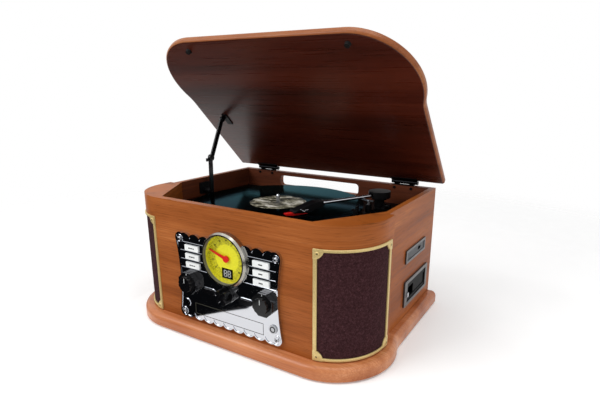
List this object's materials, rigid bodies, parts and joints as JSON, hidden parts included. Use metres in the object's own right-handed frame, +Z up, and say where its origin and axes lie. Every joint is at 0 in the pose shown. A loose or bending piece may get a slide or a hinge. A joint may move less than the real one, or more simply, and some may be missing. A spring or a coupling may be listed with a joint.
{
  "type": "record player",
  "caption": "Table-top record player in a wooden cabinet with rounded speaker corners, a stayed lid, belt-driven platter, tonearm, dial fascia with knobs, disc tray and side cassette slot.",
  "frame": {"origin": "middle of the whole part's extent seen from above, on the plane the feet stand on", "axes": "+Z up, front panel facing -Y, +X to the right when looking at the back from the front"},
  "size_m": [0.472, 0.339, 0.4632],
  "materials": {
    "veneer": "satin lacquer",
    "black_plastic": "matt",
    "gloss_black": "gloss",
    "vinyl": "gloss grooved",
    "rubber": "matt",
    "chrome": "polished",
    "steel": "brushed",
    "pale_brass": "satin",
    "cloth": "woven",
    "dial_yellow": "printed",
    "needle_red": "gloss",
    "white_plastic": "satin",
    "silver_paint": "silver"
  },
  "bodies": {
    "cabinet": {"base_plinth": "veneer", "rubber_feet": "rubber", "front_panel": "veneer", "corner_panels": "veneer", "left_side_panel": "veneer", "right_side_panel": "veneer", "back_panel": "veneer", "speaker_frames": "pale_brass", "speaker_cloths": "cloth", "speaker_drivers": "black_plastic", "deck_plate": "black_plastic", "spindle_bush": "pale_brass", "motor": "steel", "drive_belt": "rubber", "arm_pedestal": "black_plastic", "arm_rest": "black_plastic", "hinge_body_leaves": "steel", "stay_base": "black_plastic", "fascia_plate": "chrome", "screws": "steel", "dial_bezel": "chrome", "dial_face": "dial_yellow", "headphone_jack": "chrome", "disc_mechanism": "steel", "card_panel": "silver_paint", "cassette_bezel": "silver_paint", "rear_sockets": "black_plastic"},
    "turntable": {"spindle": "steel", "platter": "black_plastic", "platter_mat": "rubber", "record": "vinyl"},
    "pulley": {"motor_pulley": "pale_brass"},
    "turret": {"arm_turret": "black_plastic"},
    "arm": {"arm_tube": "chrome", "arm_headshell": "black_plastic", "stylus": "needle_red"},
    "cue": {"cue_lever": "black_plastic"},
    "lifter": {"arm_lift": "steel"},
    "top_lid": {"lid": "veneer", "lid_pads": "rubber", "hinge_lid_leaves": "steel", "stay_lid_bracket": "black_plastic"},
    "stay_lower": {"stay_lower_link": "gloss_black"},
    "stay_upper": {"stay_upper_link": "gloss_black"},
    "needle": {"dial_needle": "needle_red"},
    "volume": {"volume_knob": "gloss_black"},
    "tuning": {"tuning_knob": "gloss_black"},
    "function": {"function_knob": "gloss_black"},
    "tray": {"disc_tray": "chrome"},
    "flap": {"cassette_flap": "gloss_black"},
    "eject": {"cassette_button": "chrome"},
    "round": {"round_button": "steel"},
    "left_top": {"left_button_top": "white_plastic"},
    "left_mid": {"left_button_mid": "white_plastic"},
    "left_low": {"left_button_low": "white_plastic"},
    "left_pill": {"left_pill_button": "gloss_black"},
    "right_top": {"right_button_top": "white_plastic"},
    "right_mid": {"right_button_mid": "white_plastic"},
    "right_low": {"right_button_low": "white_plastic"},
    "right_pill": {"right_pill_button": "gloss_black"}
  },
  "joints": [
    {"name": "lid_hinge", "type": "hinge", "parent": "cabinet", "child": "top_lid", "pos_m": [0, 0.1645, 0.2247], "axis": [1, 0, 0], "range_deg": [0, 44.6]},
    {"name": "stay_lower_pivot", "type": "hinge", "parent": "cabinet", "child": "stay_lower", "pos_m": [-0.1826, 0.0169, 0.1954], "axis": [1, 0, 0], "range_deg": [-93.25, 0]},
    {"name": "stay_upper_pivot", "type": "hinge", "parent": "top_lid", "child": "stay_upper", "pos_m": [-0.1796, 0.05155, 0.32991], "axis": [1, 0, 0], "range_deg": [0, 48.84]},
    {"name": "platter_spin", "type": "hinge", "parent": "cabinet", "child": "turntable", "pos_m": [-0.024, 0.0145, 0.1845], "axis": [0, 0, 1], "continuous": true},
    {"name": "pulley_spin", "type": "hinge", "parent": "cabinet", "child": "pulley", "pos_m": [0.05382, 0.06899, 0.1795], "axis": [0, 0, 1], "continuous": true},
    {"name": "arm_swing", "type": "hinge", "parent": "cabinet", "child": "turret", "pos_m": [0.129, 0.1075, 0.2087], "axis": [0, 0, 1], "range_deg": [-14.5, 28.5]},
    {"name": "arm_tilt", "type": "hinge", "parent": "turret", "child": "arm", "pos_m": [0.129, 0.1075, 0.2087], "axis": [-0.8949, 0.4462, 0], "range_deg": [0, 3.5]},
    {"name": "cue_turn", "type": "hinge", "parent": "cabinet", "child": "cue", "pos_m": [0.146, 0.1025, 0.1905], "axis": [-1, 0, 0], "range_deg": [0, 40]},
    {"name": "lift_slide", "type": "slide", "parent": "cabinet", "child": "lifter", "axis": [0, 0, 1], "range_m": [0, 0.00214]},
    {"name": "tuning_turn", "type": "hinge", "parent": "cabinet", "child": "tuning", "pos_m": [0.073, -0.1605, 0.093], "axis": [0, 1, 0], "range_deg": [-168, 1032]},
    {"name": "needle_turn", "type": "hinge", "parent": "cabinet", "child": "needle", "pos_m": [0, -0.1505, 0.1445], "axis": [0, 1, 0], "range_deg": [-28, 172]},
    {"name": "volume_turn", "type": "hinge", "parent": "cabinet", "child": "volume", "pos_m": [-0.073, -0.1605, 0.093], "axis": [0, 1, 0], "range_deg": [-150, 150]},
    {"name": "function_turn", "type": "hinge", "parent": "cabinet", "child": "function", "pos_m": [0, -0.1605, 0.088], "axis": [0, 1, 0], "range_deg": [-60, 60]},
    {"name": "left_top_press", "type": "slide", "parent": "cabinet", "child": "left_top", "axis": [0, 1, 0], "range_m": [0, 0.0012], "stiffness_N_per_m": 400},
    {"name": "left_mid_press", "type": "slide", "parent": "cabinet", "child": "left_mid", "axis": [0, 1, 0], "range_m": [0, 0.0012], "stiffness_N_per_m": 400},
    {"name": "left_low_press", "type": "slide", "parent": "cabinet", "child": "left_low", "axis": [0, 1, 0], "range_m": [0, 0.0012], "stiffness_N_per_m": 400},
    {"name": "left_pill_press", "type": "slide", "parent": "cabinet", "child": "left_pill", "axis": [0, 1, 0], "range_m": [0, 0.0012], "stiffness_N_per_m": 400},
    {"name": "right_top_press", "type": "slide", "parent": "cabinet", "child": "right_top", "axis": [0, 1, 0], "range_m": [0, 0.0012], "stiffness_N_per_m": 400},
    {"name": "right_mid_press", "type": "slide", "parent": "cabinet", "child": "right_mid", "axis": [0, 1, 0], "range_m": [0, 0.0012], "stiffness_N_per_m": 400},
    {"name": "right_low_press", "type": "slide", "parent": "cabinet", "child": "right_low", "axis": [0, 1, 0], "range_m": [0, 0.0012], "stiffness_N_per_m": 400},
    {"name": "right_pill_press", "type": "slide", "parent": "cabinet", "child": "right_pill", "axis": [0, 1, 0], "range_m": [0, 0.0012], "stiffness_N_per_m": 400},
    {"name": "round_press", "type": "slide", "parent": "cabinet", "child": "round", "axis": [0, 1, 0], "range_m": [0, 0.0012], "stiffness_N_per_m": 400},
    {"name": "tray_slide", "type": "slide", "parent": "cabinet", "child": "tray", "axis": [0, -1, 0], "range_m": [0, 0.122]},
    {"name": "flap_turn", "type": "hinge", "parent": "cabinet", "child": "flap", "pos_m": [0.2113, 0.087, 0.0727], "axis": [0, 1, 0], "range_deg": [0, 75], "stiffness_Nm_per_rad": 0.01},
    {"name": "eject_press", "type": "slide", "parent": "cabinet", "child": "eject", "axis": [-1, 0, 0], "range_m": [0, 0.0015], "stiffness_N_per_m": 400}
  ],
  "couplings": [
    {"joint": "stay_lower_pivot", "follows": "lid_hinge", "ratio": -2.0796},
    {"joint": "stay_upper_pivot", "follows": "lid_hinge", "ratio": 1.0839},
    {"joint": "pulley_spin", "follows": "platter_spin", "ratio": 11.156},
    {"joint": "cue_turn", "follows": "arm_tilt", "ratio": 11.429},
    {"joint": "lift_slide", "follows": "arm_tilt", "m_per_rad": 0.035032},
    {"joint": "needle_turn", "follows": "tuning_turn", "ratio": 0.16667}
  ]
}
